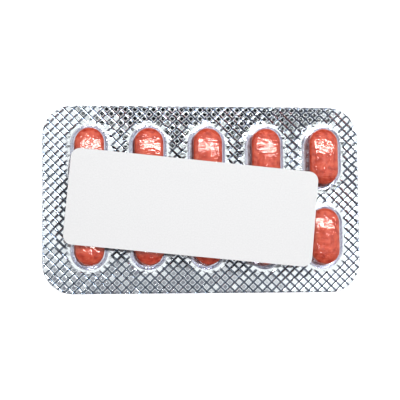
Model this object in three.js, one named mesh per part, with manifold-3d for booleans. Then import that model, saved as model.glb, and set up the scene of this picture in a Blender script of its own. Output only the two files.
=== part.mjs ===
// A blister pack of ten capsule-shaped tablets, with a blank label laid across its pockets.
// Sizes are in millimetres. X runs along the pack, Y across it, and +Z points up through the pockets.
// The origin is the middle of the pack's outline, at the height of the surface that it lies on.
import * as THREE from "three";
import { mergeVertices } from "three/addons/utils/BufferGeometryUtils.js";
import Module from "manifold-3d";

const wasm = await Module();
wasm.setup();

// Tablet: a capsule outline with a straight band round its middle and a shallow dome on each face
const tabletWidth = 8.6;
const tabletLength = 16.8;
const tabletThickness = 6;
const tabletBandHeight = 2.3;
const tabletRidgeWidth = 0.8;
const tabletDomeSteps = 4;

// Foil: one thin sheet pressed all over into small diamond pyramids. Round each pocket it has a smooth
// sealed ring at the height of their peaks, and under the tablet a seat at the height of their feet.
const foilThickness = 0.03;
const embossHeight = 0.3;
const embossPitchX = 2.83;
const embossPitchY = 2.75;
const embossPhaseX = 0.4;
const embossPhaseY = 0.1;
const sealRingWidth = 1;
const seatGap = 0.2;
const embossSnap = 0.6;

// Clear film: a flat flange with ten pockets drawn up out of it
const filmThickness = 0.25;
const pocketBaseGap = 1.05;
const pocketShoulderGap = 0.5;
const pocketHeadroom = 0.6;
const pocketShoulderRise = 2.2;
const pocketShoulderRun = 2.3;
const pocketShoulderSteps = 3;
const pocketFootRun = 0.3;
const pocketFootRise = 0.3;

// Layout of the pockets, and the foil left round them
const columns = 5;
const rows = 2;
const columnGap = 6.5;
const rowGap = 4.7;
const leftMargin = 8.3;
const rightMargin = 5.7;
const farMargin = 5.9;
const nearMargin = 7.1;
const packCornerRadius = 9.2;

// Label: a thin card that lies askew on the pockets' crowns
const labelLength = 74.2;
const labelWidth = 28.6;
const labelThickness = 0.35;
const labelCornerRadius = 2.8;
const labelTurn = THREE.MathUtils.degToRad(-5.7);
const labelShiftX = -5.2;
const labelShiftY = -3.7;

// How finely the round stretches are divided, how far a cutter reaches past what it cuts,
// and how far from flat a stretch may be to be taken as flat
const arcSteps = 4;
const cornerSteps = 4;
const overreach = 1;
const flatTolerance = 0.0005;

const tabletRadius = tabletWidth / 2;
const straightLength = tabletLength - tabletWidth;
const foilTop = embossHeight + foilThickness;
const flangeBottom = foilTop;
const flangeTop = flangeBottom + filmThickness;
const crownTop = foilThickness + tabletThickness + pocketHeadroom + filmThickness;

const pocketRadius = tabletRadius + pocketBaseGap + filmThickness;
const seatRadius = tabletRadius + seatGap;
const ringRadius = pocketRadius + pocketFootRun + sealRingWidth;
const pocketWidth = 2 * pocketRadius;
const pocketLength = pocketWidth + straightLength;
const columnPitch = pocketWidth + columnGap;
const rowPitch = pocketLength + rowGap;
const packLength = leftMargin + (columns - 1) * columnPitch + pocketWidth + rightMargin;
const packWidth = farMargin + (rows - 1) * rowPitch + pocketLength + nearMargin;
const gridX = (leftMargin - rightMargin) / 2;
const gridY = (nearMargin - farMargin) / 2;

// Centres of the pockets, along the far row from left to right and then along the near row.
const pocketCentres = [];
for (let row = 0; row < rows; row++)
  for (let column = 0; column < columns; column++)
    pocketCentres.push(
      new THREE.Vector2(
        gridX + (column - (columns - 1) / 2) * columnPitch,
        gridY + ((rows - 1) / 2 - row) * rowPitch,
      ),
    );

// A rectangle with round corners, centred on the origin.
function roundedRectangle(length, width, radius) {
  const x = length / 2 - radius;
  const y = width / 2 - radius;
  const quarter = Math.PI / 2;
  return new THREE.Shape()
    .absarc(x, y, radius, 0, quarter)
    .absarc(-x, y, radius, quarter, 2 * quarter)
    .absarc(-x, -y, radius, 2 * quarter, 3 * quarter)
    .absarc(x, -y, radius, 3 * quarter, 4 * quarter);
}

// The outline of a capsule that stands along Y: two half circles joined by straight sides.
function capsule(radius) {
  const y = straightLength / 2;
  return new THREE.Shape()
    .absarc(0, y, radius, 0, Math.PI)
    .absarc(0, -y, radius, Math.PI, 2 * Math.PI);
}

// A flat plate of a shape, between two heights.
function plate(shape, bottom, top) {
  return new THREE.ExtrudeGeometry(shape, {
    depth: top - bottom,
    bevelEnabled: false,
    curveSegments: cornerSteps,
  }).translate(0, 0, bottom);
}

// A closed skin over capsule outlines of the given radii, stacked at the given heights from the bottom up.
function capsuleLoft(rings) {
  const positions = [];
  const indices = [];
  const outlines = rings.map(({ radius }) => capsule(radius).extractPoints(arcSteps).shape);
  const count = outlines[0].length;
  outlines.forEach((outline, level) =>
    outline.forEach((point) => positions.push(point.x, point.y, rings[level].z)),
  );
  for (let level = 0; level + 1 < rings.length; level++)
    for (let i = 0; i < count; i++) {
      const next = (i + 1) % count;
      const low = level * count;
      const high = low + count;
      indices.push(low + i, low + next, high + next, low + i, high + next, high + i);
    }
  const lid = (rings.length - 1) * count;
  for (const [a, b, c] of THREE.ShapeUtils.triangulateShape(outlines[0], []))
    indices.push(c, b, a, lid + a, lid + b, lid + c);
  const geometry = new THREE.BufferGeometry();
  geometry.setAttribute("position", new THREE.Float32BufferAttribute(positions, 3));
  geometry.setIndex(indices);
  return geometry;
}

// A point of the foil's surface: the straight grid of the embossing, with a smooth ring round each pocket
// and a seat inside it. Points that pass close by the edge of a ring or a seat are drawn onto it.
function foilPoint(x, y, peak) {
  for (const centre of pocketCentres) {
    const along = THREE.MathUtils.clamp(y - centre.y, -straightLength / 2, straightLength / 2);
    const away = new THREE.Vector2(x - centre.x, y - centre.y - along);
    const distance = away.length();
    if (distance > ringRadius + embossSnap) continue;
    const edge = [seatRadius, ringRadius].find((radius) => Math.abs(distance - radius) < embossSnap);
    if (edge) away.setLength(edge);
    const height = distance < seatRadius + embossSnap ? 0 : embossHeight;
    return new THREE.Vector3(centre.x + away.x, centre.y + along + away.y, height);
  }
  return new THREE.Vector3(x, y, peak ? embossHeight : 0);
}

// The embossed sheet before it is cut to its outline: one surface, and the same surface a thickness higher.
// Points of its grid are peaks and groove crossings by turns, and each square is cut along its groove.
function embossedSheet() {
  const stepX = embossPitchX / 2;
  const stepY = embossPitchY / 2;
  const halfX = Math.ceil((packLength / 2 + overreach) / stepX) + 1;
  const halfY = Math.ceil((packWidth / 2 + overreach) / stepY) + 1;
  const wide = 2 * halfX + 1;
  const deep = 2 * halfY + 1;
  const positions = [];
  const indices = [];
  for (const lift of [foilThickness, 0])
    for (let j = -halfY; j <= halfY; j++)
      for (let i = -halfX; i <= halfX; i++) {
        const peak = (i + j) % 2 === 0;
        const point = foilPoint(embossPhaseX + i * stepX, embossPhaseY + j * stepY, peak);
        positions.push(point.x, point.y, point.z + lift);
      }
  const under = wide * deep;
  const at = (i, j) => j * wide + i;
  const face = (a, b, c) => indices.push(a, b, c, under + a, under + c, under + b);
  const edge = (a, b) => indices.push(a, b, under + b, a, under + b, under + a);
  for (let j = 0; j + 1 < deep; j++)
    for (let i = 0; i + 1 < wide; i++) {
      const peakFirst = (i - halfX + j - halfY) % 2 === 0;
      const [a, b, c, d] = [at(i, j), at(i + 1, j), at(i + 1, j + 1), at(i, j + 1)];
      face(a, b, peakFirst ? d : c);
      face(peakFirst ? b : a, c, d);
    }
  for (let i = 0; i + 1 < wide; i++) {
    edge(at(i + 1, 0), at(i, 0));
    edge(at(i, deep - 1), at(i + 1, deep - 1));
  }
  for (let j = 0; j + 1 < deep; j++) {
    edge(at(0, j), at(0, j + 1));
    edge(at(wide - 1, j + 1), at(wide - 1, j));
  }
  const geometry = new THREE.BufferGeometry();
  geometry.setAttribute("position", new THREE.Float32BufferAttribute(positions, 3));
  geometry.setIndex(indices);
  return geometry;
}

// A geometry as a manifold solid, which can be joined and cut.
function solidOf(geometry) {
  const bare = new THREE.BufferGeometry();
  bare.setAttribute("position", geometry.getAttribute("position"));
  if (geometry.index) bare.setIndex(geometry.index);
  const merged = mergeVertices(bare);
  return new wasm.Manifold(
    new wasm.Mesh({
      numProp: 3,
      vertProperties: new Float32Array(merged.attributes.position.array),
      triVerts: new Uint32Array(merged.index.array),
    }),
  );
}

// A manifold solid back as a geometry, with its flat stretches in as few triangles as they need.
function geometryOf(solid) {
  const mesh = solid.simplify(flatTolerance).getMesh();
  const indexed = new THREE.BufferGeometry();
  indexed.setAttribute("position", new THREE.Float32BufferAttribute(mesh.vertProperties, 3));
  indexed.setIndex(new THREE.BufferAttribute(mesh.triVerts, 1));
  const geometry = indexed.toNonIndexed();
  geometry.computeVertexNormals();
  return geometry;
}

// One solid of a shape repeated at every pocket.
function atEveryPocket(solid) {
  return wasm.Manifold.union(pocketCentres.map(({ x, y }) => solid.translate(x, y, 0)));
}

// Foil: the embossed sheet, cut to the pack's outline.
function foilGeometry() {
  const outline = roundedRectangle(packLength, packWidth, packCornerRadius);
  const cutter = plate(outline, -overreach, foilTop + overreach);
  return geometryOf(solidOf(embossedSheet()).intersect(solidOf(cutter)));
}

// Rings of a pocket's outer surface, or of its inner one where inset is the wall's thickness.
function pocketRings(inset, footLevel, bottom) {
  const wallRadius = pocketRadius - inset;
  const shoulderRadius = tabletRadius + pocketShoulderGap + filmThickness - inset;
  const crown = crownTop - inset;
  const crownRadius = shoulderRadius - pocketShoulderRun;
  const rings = [
    { radius: wallRadius + pocketFootRun, z: bottom },
    { radius: wallRadius + pocketFootRun, z: footLevel },
    { radius: wallRadius + pocketFootRun / 4, z: footLevel + pocketFootRise / 4 },
    { radius: wallRadius, z: footLevel + pocketFootRise },
  ];
  for (let step = 0; step <= pocketShoulderSteps; step++) {
    const angle = ((Math.PI / 2) * step) / pocketShoulderSteps;
    rings.push({
      radius: crownRadius + pocketShoulderRun * Math.cos(angle),
      z: crown - pocketShoulderRise * (1 - Math.sin(angle)),
    });
  }
  return rings;
}

// Film: the flange and the outer pockets as one, hollowed by the inner pockets.
function filmGeometry() {
  const outline = roundedRectangle(packLength, packWidth, packCornerRadius);
  const flange = solidOf(plate(outline, flangeBottom, flangeTop));
  const outer = solidOf(capsuleLoft(pocketRings(0, flangeTop, flangeBottom)));
  const inner = solidOf(
    capsuleLoft(pocketRings(filmThickness, flangeBottom, flangeBottom - overreach)),
  );
  return geometryOf(flange.add(atEveryPocket(outer)).subtract(atEveryPocket(inner)));
}

// Tablet: its band between two domes, each an arc of one circle across the tablet's width.
function tabletGeometry() {
  const domeHeight = (tabletThickness - tabletBandHeight) / 2;
  const ridgeRadius = tabletRidgeWidth / 2;
  const arcRadius = (tabletRadius ** 2 + domeHeight ** 2) / (2 * domeHeight);
  const heightAt = (radius) => Math.sqrt(arcRadius ** 2 - radius ** 2) - (arcRadius - domeHeight);
  const reach = heightAt(ridgeRadius);
  const upper = [];
  for (let step = 0; step <= tabletDomeSteps; step++) {
    const share = Math.sin(((Math.PI / 2) * step) / tabletDomeSteps);
    const radius = ridgeRadius + (tabletRadius - ridgeRadius) * Math.sqrt(1 - share ** 2);
    const rise = (heightAt(radius) * domeHeight) / reach;
    upper.push({ radius, z: tabletBandHeight / 2 + rise });
  }
  const lower = upper.map(({ radius, z }) => ({ radius, z: -z })).reverse();
  return capsuleLoft([...lower, ...upper]).toNonIndexed();
}

// Label: a card with round corners, with its underside on the pockets' crowns.
function labelGeometry() {
  const outline = roundedRectangle(labelLength, labelWidth, labelCornerRadius);
  return plate(outline, crownTop, crownTop + labelThickness).rotateZ(labelTurn);
}

const foilMaterial = new THREE.MeshStandardMaterial({
  color: 0xc9ccd2,
  roughness: 0.22,
  metalness: 1,
});
const filmMaterial = new THREE.MeshStandardMaterial({
  color: 0xf2f6fa,
  roughness: 0.06,
  metalness: 0,
  transparent: true,
  opacity: 0.22,
});
const tabletMaterial = new THREE.MeshStandardMaterial({
  color: 0xd8573f,
  roughness: 0.42,
  metalness: 0,
});
const labelMaterial = new THREE.MeshStandardMaterial({
  color: 0xf0f0f0,
  roughness: 0.7,
  metalness: 0,
});

function namedMesh(name, geometry, material) {
  geometry.computeVertexNormals();
  const mesh = new THREE.Mesh(geometry, material);
  mesh.name = name;
  return mesh;
}

const pack = new THREE.Group();
pack.add(namedMesh("foil_lidding", foilGeometry(), foilMaterial));
pack.add(namedMesh("blister_film", filmGeometry(), filmMaterial));

pocketCentres.forEach(({ x, y }, index) => {
  const rowName = index < columns ? "far" : "near";
  const name = `tablet_${rowName}_${(index % columns) + 1}`;
  const tablet = namedMesh(name, tabletGeometry(), tabletMaterial);
  tablet.position.set(x, y, foilThickness + tabletThickness / 2);
  pack.add(tablet);
});

const label = namedMesh("blank_label", labelGeometry(), labelMaterial);
label.position.set(gridX + labelShiftX, gridY + labelShiftY, 0);
pack.add(label);

export default pack;
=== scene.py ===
"""A blister pack of ten tablets with a blank label across it, photographed from above on a pale table.

The solids of the pack come from the frame. This script gives the foil its fine embossing, the clear film
its rounded and slightly wrinkled pockets, the tablets their film coat and the label its card, then lights
them. All lengths are in metres.
"""

import enum
import logging
import math
from collections.abc import Sequence
from dataclasses import dataclass, field

import bmesh
import bpy
import numpy as np
from mathutils import Matrix, Vector

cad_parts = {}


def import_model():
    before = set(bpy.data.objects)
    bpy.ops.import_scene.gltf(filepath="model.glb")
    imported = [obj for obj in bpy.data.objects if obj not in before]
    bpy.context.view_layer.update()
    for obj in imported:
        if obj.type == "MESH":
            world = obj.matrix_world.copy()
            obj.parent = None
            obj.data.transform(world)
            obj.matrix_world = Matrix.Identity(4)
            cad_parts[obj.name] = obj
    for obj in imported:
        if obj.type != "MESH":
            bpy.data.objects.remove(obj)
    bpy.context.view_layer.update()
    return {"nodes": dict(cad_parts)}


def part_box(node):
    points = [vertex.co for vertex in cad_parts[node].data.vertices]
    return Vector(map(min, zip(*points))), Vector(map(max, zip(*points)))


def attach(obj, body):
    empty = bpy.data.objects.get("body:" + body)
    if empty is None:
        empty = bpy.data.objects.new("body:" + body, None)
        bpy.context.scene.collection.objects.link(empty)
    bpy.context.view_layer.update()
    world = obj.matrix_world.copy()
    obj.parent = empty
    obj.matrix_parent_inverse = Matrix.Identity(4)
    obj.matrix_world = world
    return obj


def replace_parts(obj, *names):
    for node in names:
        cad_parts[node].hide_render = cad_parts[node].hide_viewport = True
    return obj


LOG = logging.getLogger("blister_pack")
MM = 0.001
TINY = 1e-9
WELD_DISTANCE = 0.002 * MM
SHARP_ANGLE = math.radians(48)
Color = tuple[float, float, float, float]
Pair = tuple[float, float]
Stops = tuple[tuple[float, str], ...]


def linear(hex_colour: str) -> Color:
    """Turn an sRGB hex colour into the linear colour that shaders use.

    Each channel c becomes c / 12.92 below 0.04045 and ((c + 0.055) / 1.055) ** 2.4 above it.

    Args:
        hex_colour: six hex digits, such as "e2684e".

    Returns:
        Red, green and blue from 0 to 1, and an alpha of 1.
    """
    channels = np.array([int(hex_colour[i : i + 2], 16) / 255 for i in (0, 2, 4)])
    low = channels / 12.92
    high = ((channels + 0.055) / 1.055) ** 2.4
    red, green, blue = np.where(channels <= 0.04045, low, high)
    return float(red), float(green), float(blue), 1.0


def smooth_step(values: np.ndarray, start: float, end: float) -> np.ndarray:
    """Rise smoothly from 0 at start to 1 at end: 3 t ** 2 - 2 t ** 3, with t the clamped share of the way."""
    share = np.clip((values - start) / (end - start), 0, 1)
    return share * share * (3 - 2 * share)


def add(tree: bpy.types.NodeTree, kind: str, inputs: dict | None = None, **settings) -> bpy.types.Node:
    """Add one node to a tree.

    Args:
        tree: the tree of a material or a world.
        kind: the node's type name.
        inputs: socket name or number to a value, or to the output socket that feeds it.
        **settings: the node's own properties.

    Returns:
        The new node.
    """
    node = tree.nodes.new(kind)
    for name, value in settings.items():
        setattr(node, name, value)
    for key, value in (inputs or {}).items():
        if isinstance(value, bpy.types.NodeSocket):
            tree.links.new(value, node.inputs[key])
        else:
            node.inputs[key].default_value = value
    return node


def set_ramp(node: bpy.types.Node, stops: Stops) -> None:
    """Give a Color Ramp node its stops.

    Args:
        node: the ramp.
        stops: place and sRGB hex colour of each stop, in rising order.
    """
    elements = node.color_ramp.elements
    while len(elements) < len(stops):
        elements.new(1.0)
    for element, (place, colour) in zip(elements, stops):
        element.position = place
        element.color = linear(colour)


def new_material(name: str) -> tuple[bpy.types.Material, bpy.types.NodeTree, bpy.types.Node]:
    """Make an empty node material.

    Args:
        name: what the real material is.

    Returns:
        The material, its tree and its output node.
    """
    material = bpy.data.materials.new(name)
    material.use_nodes = True
    tree = material.node_tree
    tree.nodes.clear()
    return material, tree, tree.nodes.new("ShaderNodeOutputMaterial")


class Shading(enum.Enum):
    """How the faces of a piece are shaded."""

    FACETED = "faceted"
    SMOOTH = "smooth"


@dataclass(frozen=True)
class EmbossedFoil:
    """Hard-temper aluminium lidding foil, bright side out, pressed by a knurled sealing plate.

    The eye sees a mirror broken into small facets: each one shows another part of the room.
    """

    metal: str = "f6f7f9"
    # Painted shade: the grooves get this darker, bluish colour for the shade in their creases.
    groove: str = "909aa8"
    roughness: float = 0.05
    rolling_line_pitch: float = 0.35 * MM
    rolling_line_stretch: float = 12.5
    rolling_line_depth: float = 0.05 * MM
    rolling_line_bump: float = 0.02

    def material(self) -> bpy.types.Material:
        """Bright metal, darker in the grooves by painted shade, with faint lines from rolling."""
        material, tree, output = new_material("Embossed aluminium foil")
        place = add(tree, "ShaderNodeTexCoord")
        groove = add(tree, "ShaderNodeAttribute", attribute_name="groove")
        drawn_out = add(
            tree,
            "ShaderNodeMapping",
            {"Vector": place.outputs["Object"], "Scale": (1.0, 1 / self.rolling_line_stretch, 1.0)},
        )
        lines = add(
            tree,
            "ShaderNodeTexNoise",
            {"Vector": drawn_out.outputs["Vector"], "Scale": 1 / self.rolling_line_pitch, "Detail": 2.0},
        )
        # Painted shade: the colour darkens from the metal's towards the groove colour as the groove share
        # rises.
        colour = add(
            tree,
            "ShaderNodeMix",
            {0: groove.outputs["Fac"], 6: linear(self.metal), 7: linear(self.groove)},
            data_type="RGBA",
        )
        bump = add(
            tree,
            "ShaderNodeBump",
            {
                "Height": lines.outputs["Fac"],
                "Strength": self.rolling_line_bump,
                "Distance": self.rolling_line_depth,
            },
        )
        shader = add(
            tree,
            "ShaderNodeBsdfPrincipled",
            {
                "Base Color": colour.outputs[2],
                "Metallic": 1.0,
                "Roughness": self.roughness,
                "Normal": bump.outputs["Normal"],
            },
        )
        tree.links.new(shader.outputs["BSDF"], output.inputs["Surface"])
        return material


@dataclass(frozen=True)
class ClearFilm:
    """Clear rigid PVC, thermoformed: glass-like gloss, and a faint grey where one looks along the wall, which
    deepens near grazing into painted shade for dark lines along the walls.

    The stretched film keeps fine ripples, which break the glints on the pockets into streaks.
    """

    name: str = "Clear thermoformed PVC film"
    # The paler stops are the film's own faint tint; the darkest one, almost along the wall, is painted shade
    # that draws dark lines on the walls.
    tints_and_painted_edge_shade: Stops = ((0.2, "fdfefe"), (0.75, "ececf3"), (0.95, "a2a5bd"))
    head_on: float = 0.035
    grazing: float = 1.0
    steepness: float = 5.0
    roughness: float = 0.03
    ripple_size: float = 0.8 * MM
    ripple_stretch: float = 1.9
    ripple_height: float = 0.12 * MM

    def material(self) -> bpy.types.Material:
        """Light passes straight through, tinted towards the edges and darkened at them by painted shade,
        under a gloss that grows towards them.

        The gloss is head_on + (grazing - head_on) * facing ** steepness, with facing 0 head-on and 1 along
        the surface. It is the same from inside the wall as from outside, because so thin a wall bends no
        light.
        """
        material, tree, output = new_material(self.name)
        facing = add(tree, "ShaderNodeLayerWeight", {"Blend": 0.5}).outputs["Facing"]
        # Painted shade: what shows through the film darkens as one looks along it.
        tint = add(tree, "ShaderNodeValToRGB", {"Fac": facing})
        set_ramp(tint, self.tints_and_painted_edge_shade)
        clear = add(tree, "ShaderNodeBsdfTransparent", {"Color": tint.outputs["Color"]})
        place = add(tree, "ShaderNodeTexCoord")
        drawn_out = add(
            tree,
            "ShaderNodeMapping",
            {"Vector": place.outputs["Object"], "Scale": (1 / self.ripple_stretch, 1.0, 1.0)},
        )
        ripples = add(
            tree,
            "ShaderNodeTexNoise",
            {"Vector": drawn_out.outputs["Vector"], "Scale": 1 / self.ripple_size, "Detail": 1.0},
        )
        bump = add(
            tree,
            "ShaderNodeBump",
            {"Height": ripples.outputs["Fac"], "Strength": 1.0, "Distance": self.ripple_height},
        )
        gloss = add(
            tree,
            "ShaderNodeBsdfGlossy",
            {"Color": linear("ffffff"), "Roughness": self.roughness, "Normal": bump.outputs["Normal"]},
        )
        steep = add(tree, "ShaderNodeMath", {0: facing, 1: self.steepness}, operation="POWER")
        mirrored = add(
            tree,
            "ShaderNodeMath",
            {0: steep.outputs[0], 1: self.grazing - self.head_on, 2: self.head_on},
            operation="MULTIPLY_ADD",
        )
        mixed = add(
            tree,
            "ShaderNodeMixShader",
            {0: mirrored.outputs[0], 1: clear.outputs["BSDF"], 2: gloss.outputs["BSDF"]},
        )
        tree.links.new(mixed.outputs["Shader"], output.inputs["Surface"])
        return material


# The flange is bonded to the foil, so light meets far less gloss there than at the pockets' free walls.
SEALED_FILM = ClearFilm(name="Clear PVC film sealed to the foil", head_on=0.006, grazing=0.1)


@dataclass(frozen=True)
class MottledFinish:
    """A body colour in a few tones, under a fine bump.

    Attributes:
        name: what the real material is.
        tones: places and colours of the tones.
        tone_size: of the patches of one tone.
        grain_size, grain_detail: of the bumps, and how rough they are in themselves.
        grain_depth, grain_bump: their depth, and the share of it that shows.
        roughness, ior: of the gloss.
    """

    name: str
    tones: Stops
    tone_size: float
    grain_size: float
    grain_detail: float
    grain_depth: float
    grain_bump: float
    roughness: float
    ior: float

    def material(self) -> bpy.types.Material:
        """Tones of the body colour by a soft noise, and a bump by a fine one."""
        material, tree, output = new_material(self.name)
        place = add(tree, "ShaderNodeTexCoord")
        patches = add(
            tree,
            "ShaderNodeTexNoise",
            {"Vector": place.outputs["Object"], "Scale": 1 / self.tone_size, "Detail": 3.0},
        )
        tones = add(tree, "ShaderNodeValToRGB", {"Fac": patches.outputs["Fac"]})
        set_ramp(tones, self.tones)
        grain = add(
            tree,
            "ShaderNodeTexNoise",
            {
                "Vector": place.outputs["Object"],
                "Scale": 1 / self.grain_size,
                "Detail": self.grain_detail,
            },
        )
        bump = add(
            tree,
            "ShaderNodeBump",
            {
                "Height": grain.outputs["Fac"],
                "Strength": self.grain_bump,
                "Distance": self.grain_depth,
            },
        )
        shader = add(
            tree,
            "ShaderNodeBsdfPrincipled",
            {
                "Base Color": tones.outputs["Color"],
                "Roughness": self.roughness,
                "IOR": self.ior,
                "Normal": bump.outputs["Normal"],
            },
        )
        tree.links.new(shader.outputs["BSDF"], output.inputs["Surface"])
        return material


@dataclass(frozen=True)
class TabletCoat(MottledFinish):
    """Film coat sprayed on in a pan: coral red with a satin gloss, softly mottled and finely pebbled."""

    name: str = "Film-coated tablet"
    tones: Stops = ((0.32, "c94c36"), (0.5, "e2684e"), (0.7, "ee8062"))
    tone_size: float = 1.6 * MM
    grain_size: float = 0.35 * MM
    grain_detail: float = 2.0
    grain_depth: float = 0.05 * MM
    grain_bump: float = 0.25
    roughness: float = 0.34
    ior: float = 1.48


@dataclass(frozen=True)
class LabelCard(MottledFinish):
    """Uncoated white label card: matt, even, with a trace of fibre."""

    name: str = "White label card"
    tones: Stops = ((0.35, "e2e2e2"), (0.65, "e6e6e6"))
    tone_size: float = 0.4 * MM
    grain_size: float = 0.4 * MM
    grain_detail: float = 3.0
    grain_depth: float = 0.02 * MM
    grain_bump: float = 0.06
    roughness: float = 0.78
    ior: float = 1.45


def lay_wall(piece: bpy.types.Object, wall: float, even: bool) -> None:
    """Give an open sheet its thickness and keep the result as the piece's own mesh.

    Args:
        piece: the sheet.
        wall: thickness, laid on the inner side.
        even: whether the wall keeps its thickness round corners, which a finely creased sheet can't.
    """
    solidify = piece.modifiers.new("Wall", "SOLIDIFY")
    solidify.thickness = wall
    solidify.offset = -1
    solidify.use_even_offset = even
    shaped = piece.evaluated_get(bpy.context.evaluated_depsgraph_get())
    mesh = bpy.data.meshes.new_from_object(shaped)
    mesh.name = piece.name
    piece.modifiers.clear()
    piece.data = mesh


def finish_mesh(
    name: str,
    points: np.ndarray,
    faces: np.ndarray,
    shading: Shading,
    materials: Sequence[bpy.types.Material],
    finish: np.ndarray | None = None,
    wall: float = 0.0,
    even: bool = True,
    values: dict[str, np.ndarray] | None = None,
) -> bpy.types.Object:
    """Make a piece from arrays of points and faces, weld its seams and give a sheet its thickness.

    Args:
        name: the piece's name.
        points: one row of x, y, z for each point.
        faces: one row of point numbers for each face, three or four of them.
        shading: faceted or smooth.
        materials: the piece's finishes.
        finish: which of the finishes each face has, or none for the first.
        wall: thickness of an open sheet, or 0 for a closed body.
        even: whether the wall keeps its thickness round corners.
        values: attribute name to one number for each point.

    Returns:
        The piece, in the scene and riding on the pack.
    """
    mesh = bpy.data.meshes.new(name)
    mesh.from_pydata(points.tolist(), [], faces.tolist())
    for material in materials:
        mesh.materials.append(material)
    if finish is not None:
        mesh.polygons.foreach_set("material_index", finish.astype(np.int32))
    for key, numbers in (values or {}).items():
        attribute = mesh.attributes.new(key, "FLOAT", "POINT")
        attribute.data.foreach_set("value", numbers.astype(np.float32))
    work = bmesh.new()
    work.from_mesh(mesh)
    bmesh.ops.remove_doubles(work, verts=work.verts, dist=WELD_DISTANCE)
    bmesh.ops.delete(work, geom=[v for v in work.verts if not v.link_faces], context="VERTS")
    work.to_mesh(mesh)
    work.free()
    piece = bpy.data.objects.new(name, mesh)
    bpy.context.scene.collection.objects.link(piece)
    if wall:
        lay_wall(piece, wall, even)
    if shading is Shading.SMOOTH:
        piece.data.shade_smooth()
        piece.data.set_sharp_from_angle(angle=SHARP_ANGLE)
    else:
        piece.data.shade_flat()
    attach(piece, "root")
    LOG.info("%s: %d points, %d faces", name, len(piece.data.vertices), len(piece.data.polygons))
    return piece


def grid_faces(rows: int, columns: int) -> np.ndarray:
    """Number the quads of a grid whose columns close into a ring.

    Face (i, j) joins points (i, j), (i, j + 1), (i + 1, j + 1) and (i + 1, j), with j + 1 taken round.

    Args:
        rows: rings in the grid.
        columns: points in each ring.

    Returns:
        One row of four point numbers for each face.
    """
    i, j = np.meshgrid(np.arange(rows - 1), np.arange(columns), indexing="ij")
    after = (j + 1) % columns
    corners = [i * columns + j, (i + 1) * columns + j, (i + 1) * columns + after, i * columns + after]
    return np.stack(corners, axis=-1).reshape(-1, 4)


class Row(enum.Enum):
    """The two rows of pockets: the far one lies at the top of the picture."""

    FAR = "far"
    NEAR = "near"


def tablet_node(row: Row, column: int) -> str:
    """Name of a tablet's CAD node, with the columns counted from 1 at the left."""
    return f"tablet_{row.value}_{column}"


@dataclass(frozen=True)
class Pocket:
    """Where one pocket of the pack is, and the tablet that it holds."""

    row: Row
    column: int
    centre: Pair

    @property
    def tablet(self) -> str:
        """Name of the CAD node of its tablet."""
        return tablet_node(self.row, self.column)


@dataclass
class PackLayout:
    """The pack's measures, read from the frame once and shared by all the pieces.

    Attributes:
        columns: pockets in a row.
        corner_radius: of the pack's outline.
        half_length, half_width: half the pack's size along X and along Y.
        flange_bottom, crown_top: lowest and highest level of the film.
        tablet_radius: radius of the tablets' ends, seen from above.
        straight: length of the tablets' straight sides.
        tablet_bottom, tablet_top: lowest and highest level of the tablets.
        pockets: the far row from left to right, then the near row.
        column_pitch, row_pitch: from one column and one row to the next.
    """

    columns: int = 5
    corner_radius: float = 9.2 * MM
    half_length: float = field(init=False)
    half_width: float = field(init=False)
    flange_bottom: float = field(init=False)
    crown_top: float = field(init=False)
    tablet_radius: float = field(init=False)
    straight: float = field(init=False)
    tablet_bottom: float = field(init=False)
    tablet_top: float = field(init=False)
    pockets: list[Pocket] = field(init=False)
    column_pitch: float = field(init=False)
    row_pitch: float = field(init=False)

    def __post_init__(self) -> None:
        """Read the outline, the tablets and the levels from the CAD nodes' boxes."""
        low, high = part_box("blister_film")
        self.half_length = high.x
        self.half_width = high.y
        self.flange_bottom = low.z
        self.crown_top = high.z
        low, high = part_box(tablet_node(Row.FAR, 1))
        self.tablet_radius = (high.x - low.x) / 2
        self.straight = (high.y - low.y) - (high.x - low.x)
        self.tablet_bottom = low.z
        self.tablet_top = high.z
        self.pockets = []
        for row in Row:
            for column in range(1, self.columns + 1):
                low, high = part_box(tablet_node(row, column))
                middle = (low + high) / 2
                self.pockets.append(Pocket(row, column, (middle.x, middle.y)))
        self.column_pitch = self.pockets[1].centre[0] - self.pockets[0].centre[0]
        self.row_pitch = self.pockets[0].centre[1] - self.pockets[self.columns].centre[1]

    def pocket_distance(self, x: np.ndarray, y: np.ndarray) -> np.ndarray:
        """Distance of points to the nearest pocket's middle line, a segment along Y.

        It is sqrt(dx ** 2 + e ** 2), with e how far the point lies past the end of the segment.

        Args:
            x: places along the pack.
            y: places across the pack.

        Returns:
            The distances.
        """
        nearest = np.full(x.shape, np.inf)
        for pocket in self.pockets:
            dx = x - pocket.centre[0]
            dy = y - pocket.centre[1]
            beyond = np.maximum(np.abs(dy) - self.straight / 2, 0)
            nearest = np.minimum(nearest, np.hypot(dx, beyond))
        return nearest

    def inside(self, x: np.ndarray, y: np.ndarray) -> np.ndarray:
        """Whether points lie inside the pack's outline, a rectangle with round corners.

        Args:
            x: places along the pack.
            y: places across the pack.

        Returns:
            True for each point that lies inside.
        """
        beyond_x = np.maximum(np.abs(x) - (self.half_length - self.corner_radius), 0)
        beyond_y = np.maximum(np.abs(y) - (self.half_width - self.corner_radius), 0)
        return np.hypot(beyond_x, beyond_y) < self.corner_radius

    def onto_outline(
        self, x: np.ndarray, y: np.ndarray, inset: float = 0.0
    ) -> tuple[np.ndarray, np.ndarray]:
        """Draw points that lie outside the outline straight onto it and leave the others.

        The part of a point beyond the inner rectangle of corner centres is shortened to the corner radius.

        Args:
            x: places along the pack.
            y: places across the pack.
            inset: how far inside the outline they are drawn to.

        Returns:
            The new x and y.
        """
        core_x = np.clip(x, self.corner_radius - self.half_length, self.half_length - self.corner_radius)
        core_y = np.clip(y, self.corner_radius - self.half_width, self.half_width - self.corner_radius)
        beyond = np.hypot(x - core_x, y - core_y)
        share = np.minimum(1, (self.corner_radius - inset) / np.maximum(beyond, TINY))
        return core_x + (x - core_x) * share, core_y + (y - core_y) * share


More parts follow.
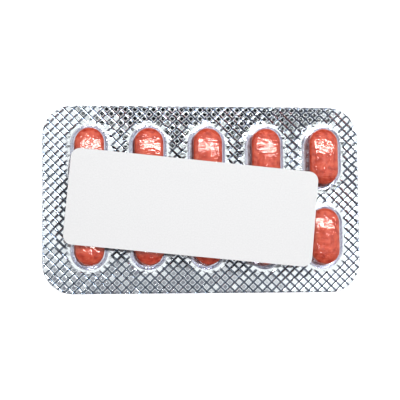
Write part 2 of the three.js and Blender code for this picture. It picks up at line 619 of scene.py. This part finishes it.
@dataclass
class CapsuleLoop:
    """Points once round a capsule, in four runs that each face one side of a rectangle.

    Attributes:
        layout: the pack's measures, with the length of the capsule's middle line.
        eighth: points in an eighth of a turn.
        side: points along a straight side.
        angle: direction of each point from the middle line.
        shift: where on the middle line that is, from -1 to 1.
        count: points in the loop.
    """

    layout: PackLayout
    eighth: int = 6
    side: int = 8
    angle: np.ndarray = field(init=False)
    shift: np.ndarray = field(init=False)
    count: int = field(init=False)

    def __post_init__(self) -> None:
        """Lay the points out, from an eighth of a turn before the right-hand side."""
        turn = math.pi / 4
        arc = [np.linspace(k * turn, (k + 1) * turn, self.eighth, endpoint=False) for k in range(-1, 7)]
        along = np.linspace(-1, 1, self.side, endpoint=False)
        level = np.zeros(self.side)
        ones = np.ones(self.eighth)
        self.angle = np.concatenate([arc[0], level, *arc[1:5], level + math.pi, *arc[5:8]])
        self.shift = np.concatenate([-ones, along, *[ones] * 4, -along, *[-ones] * 3])
        self.count = len(self.angle)

    def rings(self, radii: np.ndarray, heights: np.ndarray) -> np.ndarray:
        """Stack capsules: each ring is its radius times the direction, plus the place on the middle line.

        Args:
            radii: radius of each ring, from the middle line.
            heights: height of each ring.

        Returns:
            Points as rings by columns by x, y, z, about the capsule's own centre.
        """
        x = np.outer(radii, np.cos(self.angle))
        y = np.outer(radii, np.sin(self.angle)) + self.shift * self.layout.straight / 2
        z = np.repeat(heights[:, None], self.count, axis=1)
        return np.stack([x, y, z], axis=-1)

    def rectangle(self, left: float, right: float, bottom: float, top: float) -> np.ndarray:
        """Points round a rectangle, opposite those of the capsule, evenly spread on each side.

        Args:
            left: lowest x.
            right: highest x.
            bottom: lowest y.
            top: highest y.

        Returns:
            Points as columns by x, y.
        """
        tall = 2 * self.eighth + self.side
        wide = 2 * self.eighth
        up = np.linspace(bottom, top, tall, endpoint=False)
        leftward = np.linspace(right, left, wide, endpoint=False)
        down = np.linspace(top, bottom, tall, endpoint=False)
        rightward = np.linspace(left, right, wide, endpoint=False)
        x = np.concatenate([np.full(tall, right), leftward, np.full(tall, left), rightward])
        y = np.concatenate([up, np.full(wide, top), down, np.full(wide, bottom)])
        return np.stack([x, y], axis=-1)


@dataclass
class FoilLidding:
    """The foil under the pack, embossed into flat-topped diamonds with thin grooves between them.

    Attributes:
        layout: the pack's measures.
        thickness: of the foil.
        pitch_x, pitch_y: length of a diamond along and across the pack.
        phase_x, phase_y: middle of the diamond nearest to the origin.
        flat_share, slope_share: where a flat and its eased edge end, in cells from the diamond's middle.
        slope_drop, groove_drop: how far the eased edge falls, and how far the groove falls below it.
        ring_radius, ring_fade: where the embossing starts round a pocket, and over what length.
        ring_slope: how steeply the smooth ring falls towards the pocket.
        seat_radius, seat_fade: where the foil lies on the table, and over what length it comes up.
        film_gap: clearance between the flats and the film.
        edge_inset: how far the foil stays inside the film's outline.
        tilt: spread of the flats' leaning.
        seed: starts the leaning's random numbers.
    """

    layout: PackLayout
    thickness: float = 0.03 * MM
    pitch_x: float = 2.83 * MM
    pitch_y: float = 2.75 * MM
    phase_x: float = -0.5 * MM
    phase_y: float = -0.29 * MM
    flat_share: float = 0.27
    slope_share: float = 0.35
    slope_drop: float = 0.048 * MM
    groove_drop: float = 0.235 * MM
    ring_radius: float = 6.55 * MM
    ring_fade: float = 0.35 * MM
    ring_slope: float = 0.03
    seat_radius: float = 2.6 * MM
    seat_fade: float = 1.3 * MM
    film_gap: float = 0.012 * MM
    edge_inset: float = 0.04 * MM
    tilt: float = 0.004
    seed: int = 7

    @property
    def cells(self) -> int:
        """Cells from the middle of the grid to its ends, enough to reach the pack's corners."""
        reach = self.layout.half_length / self.pitch_x + self.layout.half_width / self.pitch_y
        return math.ceil(reach + 2)

    def grid(self) -> tuple[np.ndarray, np.ndarray]:
        """Lay a grid along the grooves, with a line in each groove and at each edge of the flats.

        Returns:
            u and v, counted in cells along the two diagonals and whole in the middle of a diamond.
        """
        steps = np.array([-0.5, -self.slope_share, -self.flat_share, self.flat_share, self.slope_share])
        lines = (np.arange(-self.cells, self.cells + 1)[:, None] + steps).ravel()
        u, v = np.meshgrid(lines, lines, indexing="ij")
        return u, v

    def place(self, u: np.ndarray, v: np.ndarray) -> tuple[np.ndarray, np.ndarray]:
        """Find x = phase_x + (u + v) * pitch_x / 2 and y = phase_y + (u - v) * pitch_y / 2."""
        return self.phase_x + (u + v) * self.pitch_x / 2, self.phase_y + (u - v) * self.pitch_y / 2

    def relief(self, u: np.ndarray, v: np.ndarray) -> tuple[np.ndarray, np.ndarray]:
        """Work out how far the embossing falls below the level of the flats.

        With m the larger distance of u or v from the diamond's middle, 0 there and 0.5 in the groove, the
        foil is flat up to flat_share, falls by slope_drop up to slope_share, and by groove_drop from there
        to the groove. Each flat leans a little its own way.

        Args:
            u: cells along one diagonal, for each point.
            v: cells along the other.

        Returns:
            The drop, and the share of the groove in it, from 0 to 1.
        """
        cell_u = np.floor(u + 0.5 + TINY)
        cell_v = np.floor(v + 0.5 + TINY)
        off_u, off_v = u - cell_u, v - cell_v
        m = np.maximum(np.abs(off_u), np.abs(off_v))
        slope = np.clip((m - self.flat_share) / (self.slope_share - self.flat_share), 0, 1)
        groove = np.clip((m - self.slope_share) / (0.5 - self.slope_share), 0, 1)
        across = 2 * self.cells + 2
        lean = np.random.default_rng(self.seed).normal(0, self.tilt, (2, across, across))
        lean_u, lean_v = lean[:, (cell_u + self.cells).astype(int), (cell_v + self.cells).astype(int)]
        cell_width = self.pitch_x * self.pitch_y / math.hypot(self.pitch_x, self.pitch_y)
        leaning = (lean_u * off_u + lean_v * off_v) * cell_width * (1 - groove)
        return self.slope_drop * slope + self.groove_drop * groove - leaning, groove

    def surface(self) -> tuple[np.ndarray, np.ndarray, np.ndarray]:
        """Work out the foil: embossed, smooth round each pocket, and on the table under each tablet.

        The embossing is taken times a step that rises at ring_radius from the nearest pocket's middle line.
        Within that the foil falls by ring_slope towards the pocket, and by a second step, at seat_radius,
        to the table.

        Returns:
            Points, triangles and the share of the groove at each point.
        """
        u, v = self.grid()
        drop, groove = self.relief(u, v)
        x, y = self.layout.onto_outline(*self.place(u, v), self.edge_inset)
        away = self.layout.pocket_distance(x, y)
        pressed = smooth_step(away, self.ring_radius, self.ring_radius + self.ring_fade)
        seated = 1 - smooth_step(away, self.seat_radius, self.seat_radius + self.seat_fade)
        top = self.layout.flange_bottom - self.film_gap
        dished = self.ring_slope * np.maximum(0, self.ring_radius - away)
        sunk = dished + (top - self.layout.tablet_bottom - dished) * seated
        z = np.maximum(top - drop * pressed, self.thickness) - sunk
        points = np.stack([x, y, z], axis=-1).reshape(-1, 3)
        return points, self.triangles(u, v), (groove * pressed).ravel()

    def triangles(self, u: np.ndarray, v: np.ndarray) -> np.ndarray:
        """Cut each square of the grid along the diagonal that runs out from its diamond's middle.

        Args:
            u: cells along one diagonal, for each point.
            v: cells along the other.

        Returns:
            Triangles that lie at least partly inside the outline.
        """
        number = np.arange(u.size).reshape(u.shape)
        a, b = number[:-1, :-1].ravel(), number[1:, :-1].ravel()
        c, d = number[1:, 1:].ravel(), number[:-1, 1:].ravel()
        mid_u = (u[:-1, :-1] + u[1:, 1:]) / 2
        mid_v = (v[:-1, :-1] + v[1:, 1:]) / 2
        side = ((mid_u - np.round(mid_u)) * (mid_v - np.round(mid_v)) >= 0).ravel()
        first = np.where(side[:, None], np.stack([a, c, b], 1), np.stack([a, d, b], 1))
        second = np.where(side[:, None], np.stack([a, d, c], 1), np.stack([b, d, c], 1))
        faces = np.concatenate([first, second])
        shown = self.layout.inside(*self.place(u, v)).ravel()
        return faces[shown[faces].any(axis=1)]

    def build(self) -> bpy.types.Object:
        """Make the foil in place of its CAD node."""
        points, faces, groove = self.surface()
        # The groove share goes to the material, which paints shade into the grooves by it.
        piece = finish_mesh(
            "foil_embossed",
            points,
            faces,
            Shading.FACETED,
            [EmbossedFoil().material()],
            wall=self.thickness,
            even=False,
            values={"groove": groove},
        )
        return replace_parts(piece, "foil_lidding")


@dataclass
class PocketFilm:
    """The clear film: flange and ten pockets in one sheet, with crowns left a little uneven by forming.

    Attributes:
        layout: the pack's measures.
        wall: thickness of the film.
        foot_gap, foot_run: the wall's foot, outside the tablet's edge, and the radius of its curl.
        shoulder_gap: where the wall begins, outside the tablet's edge.
        shoulder_run, shoulder_rise: width and height of the shoulder.
        crown_dome: how far the crown falls from its middle line to the shoulder.
        end_fall: share of its height that the pocket loses towards its ends.
        wrinkle: half the depth of the waves in the crown.
        wrinkle_reach, wrinkle_fade: up to where the crown is uneven, and over what length that ends.
        waves: radians for each millimetre along and across, and the share of each wave.
        dimple_depth, dimple_radius, dimple_places: shallow dents, at millimetres from the pocket's centre.
        crown_rings, shoulder_rings, wall_rings, foot_rings: rings of points in each part.
        flange_steps: rings of the flange, as shares of the way from the foot to the border.
        seed: starts the waves' random phases.
    """

    layout: PackLayout
    wall: float = 0.25 * MM
    foot_gap: float = 1.3 * MM
    foot_run: float = 0.3 * MM
    shoulder_gap: float = 0.75 * MM
    shoulder_run: float = 2.3 * MM
    shoulder_rise: float = 2.2 * MM
    crown_dome: float = 0.1 * MM
    end_fall: float = 0.27
    wrinkle: float = 0.05 * MM
    wrinkle_reach: float = 3.4 * MM
    wrinkle_fade: float = 1.5 * MM
    waves: tuple[tuple[float, float, float], ...] = (
        (1.9, 0.8, 1.0),
        (-1.2, 2.1, 1.0),
        (3.1, -2.6, 0.7),
        (1.3, 4.4, 0.5),
    )
    dimple_depth: float = 0.1 * MM
    dimple_radius: float = 0.62 * MM
    dimple_places: tuple[Pair, ...] = ((0.3, 4.1), (-0.9, -3.9))
    crown_rings: int = 8
    shoulder_rings: int = 13
    wall_rings: int = 6
    foot_rings: int = 7
    flange_steps: tuple[float, ...] = (0.03, 0.3, 0.65, 1.0)
    seed: int = 11

    def profile(self) -> tuple[np.ndarray, np.ndarray]:
        """Radius and height of each ring, from the crown's middle line down to the flange.

        The crown is a shallow parabola, the shoulder a quarter of an ellipse, the wall a straight draft and
        the foot a quarter circle that ends level with the flange.

        Returns:
            Radii and heights.
        """
        top = self.layout.crown_top
        flange = self.layout.flange_bottom + self.wall
        foot = self.layout.tablet_radius + self.foot_gap
        shoulder = self.layout.tablet_radius + self.shoulder_gap
        crown = shoulder - self.shoulder_run
        low = top - self.crown_dome
        shoulder_z = top - self.shoulder_rise
        foot_z = flange + self.foot_run
        flat = np.linspace(0, 1, self.crown_rings, endpoint=False)
        turn = np.linspace(0, math.pi / 2, self.shoulder_rings)
        wall = np.linspace(0, 1, self.wall_rings + 2)[1:-1]
        curl = np.linspace(0, math.pi / 2, self.foot_rings)
        radii = np.concatenate(
            [
                flat * crown,
                crown + self.shoulder_run * np.sin(turn),
                shoulder + (foot - shoulder) * wall,
                foot + self.foot_run * (1 - np.cos(curl)),
            ]
        )
        heights = np.concatenate(
            [
                top - self.crown_dome * flat**2,
                shoulder_z + (low - shoulder_z) * np.cos(turn),
                shoulder_z + (foot_z - shoulder_z) * wall,
                foot_z - self.foot_run * np.sin(curl),
            ]
        )
        return radii, heights

    def unevenness(self, points: np.ndarray, radii: np.ndarray, rng: np.random.Generator) -> np.ndarray:
        """How far the crown and shoulder sink at each point: by waves and by dimples.

        The waves are shares of sin(along * x + across * y + phase), with x and y in millimetres, raised so
        that their mean depth is the wrinkle. A dimple is depth * exp(-(distance / radius) ** 4).

        Args:
            points: the rings of one pocket, about its own centre.
            radii: the radius of each ring.
            rng: the source of this pocket's phases.

        Returns:
            Depths, never below 0.
        """
        x, y = points[..., 0] / MM, points[..., 1] / MM
        # Each pocket draws six phases, of which the last two are spare.
        phases = rng.uniform(0, 2 * math.pi, 6)
        swell = np.zeros(x.shape)
        for (along, across, share), phase in zip(self.waves, phases):
            swell += share * np.sin(along * x + across * y + phase)
        total = sum(share for _, _, share in self.waves)
        uneven = 1 - smooth_step(radii, self.wrinkle_reach, self.wrinkle_reach + self.wrinkle_fade)
        depth = self.wrinkle * (swell / total + 1) * uneven[:, None]
        for place_x, place_y in self.dimple_places:
            away = np.hypot(x - place_x, y - place_y) * MM
            depth = depth + self.dimple_depth * np.exp(-((away / self.dimple_radius) ** 4))
        return depth

    def share_of_flange(self, pocket: Pocket) -> tuple[float, float, float, float]:
        """Bound the part of the flange that goes with a pocket: half a pitch each way, or the pack's edge.

        Args:
            pocket: which pocket.

        Returns:
            Left, right, bottom and top.
        """
        layout = self.layout
        half_x, half_y = layout.column_pitch / 2, layout.row_pitch / 2
        x, y = pocket.centre
        left = -layout.half_length if pocket.column == 1 else x - half_x
        right = layout.half_length if pocket.column == layout.columns else x + half_x
        bottom = -layout.half_width if pocket.row is Row.NEAR else y - half_y
        top = layout.half_width if pocket.row is Row.FAR else y + half_y
        return left, right, bottom, top

    def one_pocket(self, pocket: Pocket, loop: CapsuleLoop, rng: np.random.Generator) -> np.ndarray:
        """One pocket with its share of the flange: rings of the profile, then rings that widen to its bounds.

        The pocket is highest in the middle of its length. Towards its ends each height above the flange is
        taken times 1 - end_fall * (y / reach) ** 2, with reach half the pocket's length.

        Args:
            pocket: which pocket.
            loop: the points of a ring.
            rng: the source of its unevenness.

        Returns:
            Points as rings by columns by x, y, z.
        """
        radii, heights = self.profile()
        rings = loop.rings(radii, heights)
        flange = rings[-1, 0, 2]
        reach = self.layout.straight / 2 + self.layout.tablet_radius + self.shoulder_gap
        kept = 1 - self.end_fall * np.minimum(1, np.abs(rings[..., 1]) / reach) ** 2
        rings[..., 2] = flange + (rings[..., 2] - flange) * kept
        rings[..., 2] -= self.unevenness(rings, radii, rng)
        rings[..., :2] += pocket.centre
        border = loop.rectangle(*self.share_of_flange(pocket))
        border = np.stack(self.layout.onto_outline(border[:, 0], border[:, 1]), axis=-1)
        share = np.array(self.flange_steps)[:, None, None]
        spread = rings[-1, :, :2] * (1 - share) + border * share
        level = np.full(spread.shape[:2] + (1,), rings[-1, 0, 2])
        return np.concatenate([rings, np.concatenate([spread, level], axis=-1)])

    def build(self) -> bpy.types.Object:
        """Make the film in place of its CAD node."""
        loop = CapsuleLoop(self.layout)
        rng = np.random.default_rng(self.seed)
        shells = [self.one_pocket(pocket, loop, rng) for pocket in self.layout.pockets]
        rows, columns = shells[0].shape[:2]
        faces = grid_faces(rows, columns)
        points = np.concatenate([shell.reshape(-1, 3) for shell in shells])
        numbered = np.concatenate([faces + k * rows * columns for k in range(len(shells))])
        last_ring = len(self.profile()[0]) - 1
        on_flange = faces.min(axis=1) // columns >= last_ring
        piece = finish_mesh(
            "film_pockets",
            points,
            numbered,
            Shading.SMOOTH,
            [ClearFilm().material(), SEALED_FILM.material()],
            finish=np.tile(on_flange, len(shells)),
            wall=self.wall,
        )
        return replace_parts(piece, "blister_film")


@dataclass
class Tablets:
    """The ten tablets: a straight band between two domes, with softly rounded edges."""

    layout: PackLayout
    band: float = 2.3 * MM
    edge_drop: float = 0.35 * MM
    edge_inset: float = 0.0525 * MM
    dome_rings: int = 15

    def profile(self) -> tuple[np.ndarray, np.ndarray]:
        """Radius and height of each ring, from the middle line of the top to that of the bottom.

        The dome is an arc of the circle through the band's edge and the top, of radius
        (r ** 2 + h ** 2) / (2 * h) for a dome of radius r and height h. It stops edge_inset short of the
        band, which begins edge_drop lower, so that the edge is eased.

        Returns:
            Radii and heights, about the tablet's own centre.
        """
        radius = self.layout.tablet_radius
        half = (self.layout.tablet_top - self.layout.tablet_bottom) / 2
        dome = half - self.band / 2
        circle = (radius**2 + dome**2) / (2 * dome)
        r = (radius - self.edge_inset) * np.sin(np.linspace(0, math.pi / 2, self.dome_rings))
        z = self.band / 2 + np.sqrt(circle**2 - r**2) - (circle - dome)
        top_r = np.append(r, radius)
        top_z = np.append(z, self.band / 2 - self.edge_drop)
        return np.concatenate([top_r, top_r[::-1]]), np.concatenate([top_z, -top_z[::-1]])

    def build(self) -> list[bpy.types.Object]:
        """Make each tablet in place of its CAD node."""
        material = TabletCoat().material()
        radii, heights = self.profile()
        loop = CapsuleLoop(self.layout)
        rings = loop.rings(radii, heights)
        faces = grid_faces(len(radii), loop.count)
        middle = (self.layout.tablet_top + self.layout.tablet_bottom) / 2
        pieces = []
        for pocket in self.layout.pockets:
            points = (rings + np.array([*pocket.centre, middle])).reshape(-1, 3)
            piece = finish_mesh(
                f"coated_{pocket.tablet}", points, faces, Shading.SMOOTH, [material]
            )
            pieces.append(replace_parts(piece, pocket.tablet))
        return pieces


@dataclass
class Label:
    """The blank label: its CAD solid has the right shape and only takes its finish here."""

    node: str = "blank_label"

    def dress(self) -> None:
        """Put the label card on the CAD node."""
        piece = bpy.data.objects[self.node]
        material = LabelCard().material()
        piece.data.materials.clear()
        piece.data.materials.append(material)
        LOG.info("%s: dressed", self.node)


@dataclass(frozen=True)
class SkyPatch:
    """A soft-edged card in the tent's roof, by the direction in which it is seen.

    Attributes:
        centre: direction as x and y of a unit vector, with z above the table.
        half_size: half its width and height, in the same measure.
        softness: share of the half size over which its edge fades.
        colour: sRGB hex.
        strength: what its colour is taken times.
    """

    centre: Pair
    half_size: Pair
    softness: float
    colour: str
    strength: float

    def cover(self, tree: bpy.types.NodeTree, direction: bpy.types.NodeSocket) -> bpy.types.NodeSocket:
        """How much of the card shows in a direction, whose x and y lie a and b half sizes from its centre.

        The card fades where sqrt(a ** 4 + b ** 4) passes 1, which is a rectangle with very round corners.

        Args:
            tree: the world's tree.
            direction: the direction looked in, as a unit vector.

        Returns:
            The share, from 0 to 1.
        """
        away = add(
            tree, "ShaderNodeVectorMath", {0: direction, 1: (*self.centre, 1.0)}, operation="SUBTRACT"
        )
        scaled = add(
            tree,
            "ShaderNodeVectorMath",
            {0: away.outputs[0], 1: (1 / self.half_size[0], 1 / self.half_size[1], 0.0)},
            operation="MULTIPLY",
        )
        squared = add(
            tree,
            "ShaderNodeVectorMath",
            {0: scaled.outputs[0], 1: scaled.outputs[0]},
            operation="MULTIPLY",
        )
        length = add(tree, "ShaderNodeVectorMath", {0: squared.outputs[0]}, operation="LENGTH")
        cover = add(
            tree,
            "ShaderNodeMapRange",
            {
                "Value": length.outputs["Value"],
                "From Min": 1 - self.softness,
                "From Max": 1 + self.softness,
                "To Min": 1.0,
                "To Max": 0.0,
            },
            interpolation_type="SMOOTHSTEP",
        )
        return cover.outputs[0]


@dataclass(frozen=True)
class Softbox:
    """A rectangular softbox that points at the pack: its place, width, height and power in watts."""

    name: str
    place: tuple[float, float, float]
    size: Pair
    power: float

    def hang(self) -> None:
        """Put the lamp into the scene."""
        lamp = bpy.data.lights.new(self.name, "AREA")
        lamp.shape = "RECTANGLE"
        lamp.size, lamp.size_y = self.size
        lamp.energy = self.power
        holder = bpy.data.objects.new(self.name, lamp)
        bpy.context.scene.collection.objects.link(holder)
        holder.location = self.place
        holder.rotation_euler = Vector(self.place).to_track_quat("Z", "Y").to_euler()


@dataclass(frozen=True)
class LightTable:
    """A matt white acrylic table under the pack, faintly lit from within as a light table is."""

    side: float = 12.0
    gap: float = 0.15 * MM
    glow: float = 0.25
    roughness: float = 0.9
    grain_size: float = 1.11 * MM
    tones: Stops = ((0.3, "fbfbfb"), (0.7, "ffffff"))

    def material(self) -> bpy.types.Material:
        """Two whites by a fine noise, with a faint light of their own."""
        material, tree, output = new_material("White acrylic light table")
        place = add(tree, "ShaderNodeTexCoord")
        grain = add(
            tree, "ShaderNodeTexNoise", {"Vector": place.outputs["Object"], "Scale": 1 / self.grain_size}
        )
        tones = add(tree, "ShaderNodeValToRGB", {"Fac": grain.outputs["Fac"]})
        set_ramp(tones, self.tones)
        shader = add(
            tree,
            "ShaderNodeBsdfPrincipled",
            {
                "Base Color": tones.outputs["Color"],
                "Roughness": self.roughness,
                "Emission Color": linear("ffffff"),
                "Emission Strength": self.glow,
            },
        )
        tree.links.new(shader.outputs["BSDF"], output.inputs["Surface"])
        return material

    def lay(self) -> None:
        """Lay the table under the pack, a small gap below its lowest point."""
        half = self.side / 2
        corners = [(-half, -half), (half, -half), (half, half), (-half, half)]
        mesh = bpy.data.meshes.new("table")
        mesh.from_pydata([(x, y, -self.gap) for x, y in corners], [], [(0, 1, 2, 3)])
        mesh.materials.append(self.material())
        table = bpy.data.objects.new("table", mesh)
        bpy.context.scene.collection.objects.link(table)


@dataclass(frozen=True)
class Studio:
    """A pale lit table under a white tent in a dark room, and a camera set to high contrast above it.

    The tent is open all round at the bottom, so that steep facets mirror the dark room. It hangs lower on
    the near side: the room shows below the height horizon + horizon_rise * y, with y the direction's own,
    and the cards in the roof end at patch_horizon + horizon_rise * y.

    Attributes:
        tent_strength: how bright the tent is.
        horizon, horizon_rise, horizon_fade: height of the tent's lower edge, its slope and its softness.
        patch_horizon: height below which no card shows.
        room, backdrop: colour of the room, and of what the camera sees past the table.
        camera_distance, camera_lean, camera_aim: from the camera to the point that it is aimed at, its x and
            y for each unit of height, and where that point is.
        frame_width: width of the picture at that point.
        picture_gamma: below 1 deepens the shadows, as a contrast setting does.
        sensor_mm, clip: the camera's sensor, and the nearest and farthest that it sees.
        softboxes, patches: the lamps, and the cards in the roof.
    """

    tent_strength: float = 1.12
    horizon: float = 0.45
    horizon_rise: float = 0.12
    horizon_fade: float = 0.06
    patch_horizon: float = 0.5
    room: str = "24252d"
    backdrop: str = "f4f4f4"
    camera_distance: float = 380 * MM
    camera_lean: Pair = (-0.12, -0.09)
    camera_aim: Pair = (-0.76 * MM, -0.2 * MM)
    frame_width: float = 120.75 * MM
    picture_gamma: float = 0.75
    sensor_mm: float = 36.0
    clip: Pair = (1 * MM, 40.0)
    softboxes: tuple[Softbox, ...] = (
        Softbox("Key softbox", (0.06, 0.19, 0.46), (280 * MM, 80 * MM), 1.1),
        Softbox("Fill softbox", (0.0, -0.115, 0.45), (60 * MM, 30 * MM), 0.2),
    )
    patches: tuple[SkyPatch, ...] = (
        SkyPatch((0.126, 0.225), (0.1, 0.09), 0.06, "2a2a36", 0.5),
        SkyPatch((-0.02, -0.16), (0.24, 0.2), 0.15, "9a9aa2", 1.0),
        SkyPatch((0.0, -0.82), (0.8, 0.36), 0.3, "5c5c66", 1.0),
    )

    def roof(self, tree: bpy.types.NodeTree, direction: bpy.types.NodeSocket) -> bpy.types.NodeSocket:
        """Colour of the tent and the room by direction, with the cards laid over it.

        Args:
            tree: the world's tree.
            direction: the direction looked in, as a unit vector.

        Returns:
            The colour.
        """
        height = add(
            tree,
            "ShaderNodeVectorMath",
            {0: direction, 1: (0.0, -self.horizon_rise, 1.0)},
            operation="DOT_PRODUCT",
        )
        above = add(
            tree,
            "ShaderNodeMapRange",
            {
                "Value": height.outputs["Value"],
                "From Min": self.horizon - self.horizon_fade,
                "From Max": self.horizon + self.horizon_fade,
            },
            interpolation_type="SMOOTHSTEP",
        )
        shown = add(
            tree,
            "ShaderNodeMix",
            {0: above.outputs[0], 6: linear(self.room), 7: linear("ffffff")},
            data_type="RGBA",
        )
        upper = add(
            tree,
            "ShaderNodeMath",
            {0: height.outputs["Value"], 1: self.patch_horizon},
            operation="GREATER_THAN",
        )
        for patch in self.patches:
            cover = patch.cover(tree, direction)
            share = add(tree, "ShaderNodeMath", {0: cover, 1: upper.outputs[0]}, operation="MULTIPLY")
            card = np.array(linear(patch.colour)) * patch.strength
            shown = add(
                tree,
                "ShaderNodeMix",
                {0: share.outputs[0], 6: shown.outputs[2], 7: (*card[:3].tolist(), 1.0)},
                data_type="RGBA",
            )
        return shown.outputs[2]

    def light(self) -> None:
        """Make the tent as the world, which the camera sees as a pale backdrop, and hang the lamps."""
        world = bpy.data.worlds.new("Light tent")
        bpy.context.scene.world = world
        world.use_nodes = True
        tree = world.node_tree
        tree.nodes.clear()
        output = tree.nodes.new("ShaderNodeOutputWorld")
        direction = add(tree, "ShaderNodeTexCoord").outputs["Generated"]
        tent = add(
            tree,
            "ShaderNodeBackground",
            {"Color": self.roof(tree, direction), "Strength": self.tent_strength},
        )
        plain = add(tree, "ShaderNodeBackground", {"Color": linear(self.backdrop), "Strength": 1.0})
        seen = add(tree, "ShaderNodeLightPath").outputs["Is Camera Ray"]
        mixed = add(tree, "ShaderNodeMixShader", {0: seen, 1: tent.outputs[0], 2: plain.outputs[0]})
        tree.links.new(mixed.outputs[0], output.inputs["Surface"])
        for softbox in self.softboxes:
            softbox.hang()

    def aim(self) -> None:
        """Set the camera above the pack, leaning a little to the left and towards the near side."""
        data = bpy.data.cameras.new("Camera")
        camera = bpy.data.objects.new("Camera", data)
        bpy.context.scene.collection.objects.link(camera)
        bpy.context.scene.camera = camera
        away = Vector((*self.camera_lean, 1.0)).normalized()
        camera.location = Vector((*self.camera_aim, 0.0)) + away * self.camera_distance
        across = (Vector((1.0, 0.0, 0.0)) - away * away.x).normalized()
        camera.rotation_euler = Matrix((across, away.cross(across), away)).transposed().to_euler()
        data.sensor_width = self.sensor_mm
        data.lens = self.sensor_mm * self.camera_distance / self.frame_width
        data.clip_start, data.clip_end = self.clip

    def build(self) -> None:
        """Set up everything round the pack."""
        self.light()
        LightTable().lay()
        self.aim()
        bpy.context.scene.view_settings.view_transform = "Standard"
        bpy.context.scene.view_settings.gamma = self.picture_gamma


def main() -> None:
    """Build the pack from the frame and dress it."""
    logging.basicConfig(level=logging.INFO, format="%(name)s: %(message)s")
    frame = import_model()
    LOG.info("frame has %d nodes", len(frame["nodes"]))
    layout = PackLayout()
    FoilLidding(layout).build()
    PocketFilm(layout).build()
    Tablets(layout).build()
    Label().dress()
    Studio().build()


if __name__ == "__main__":
    main()
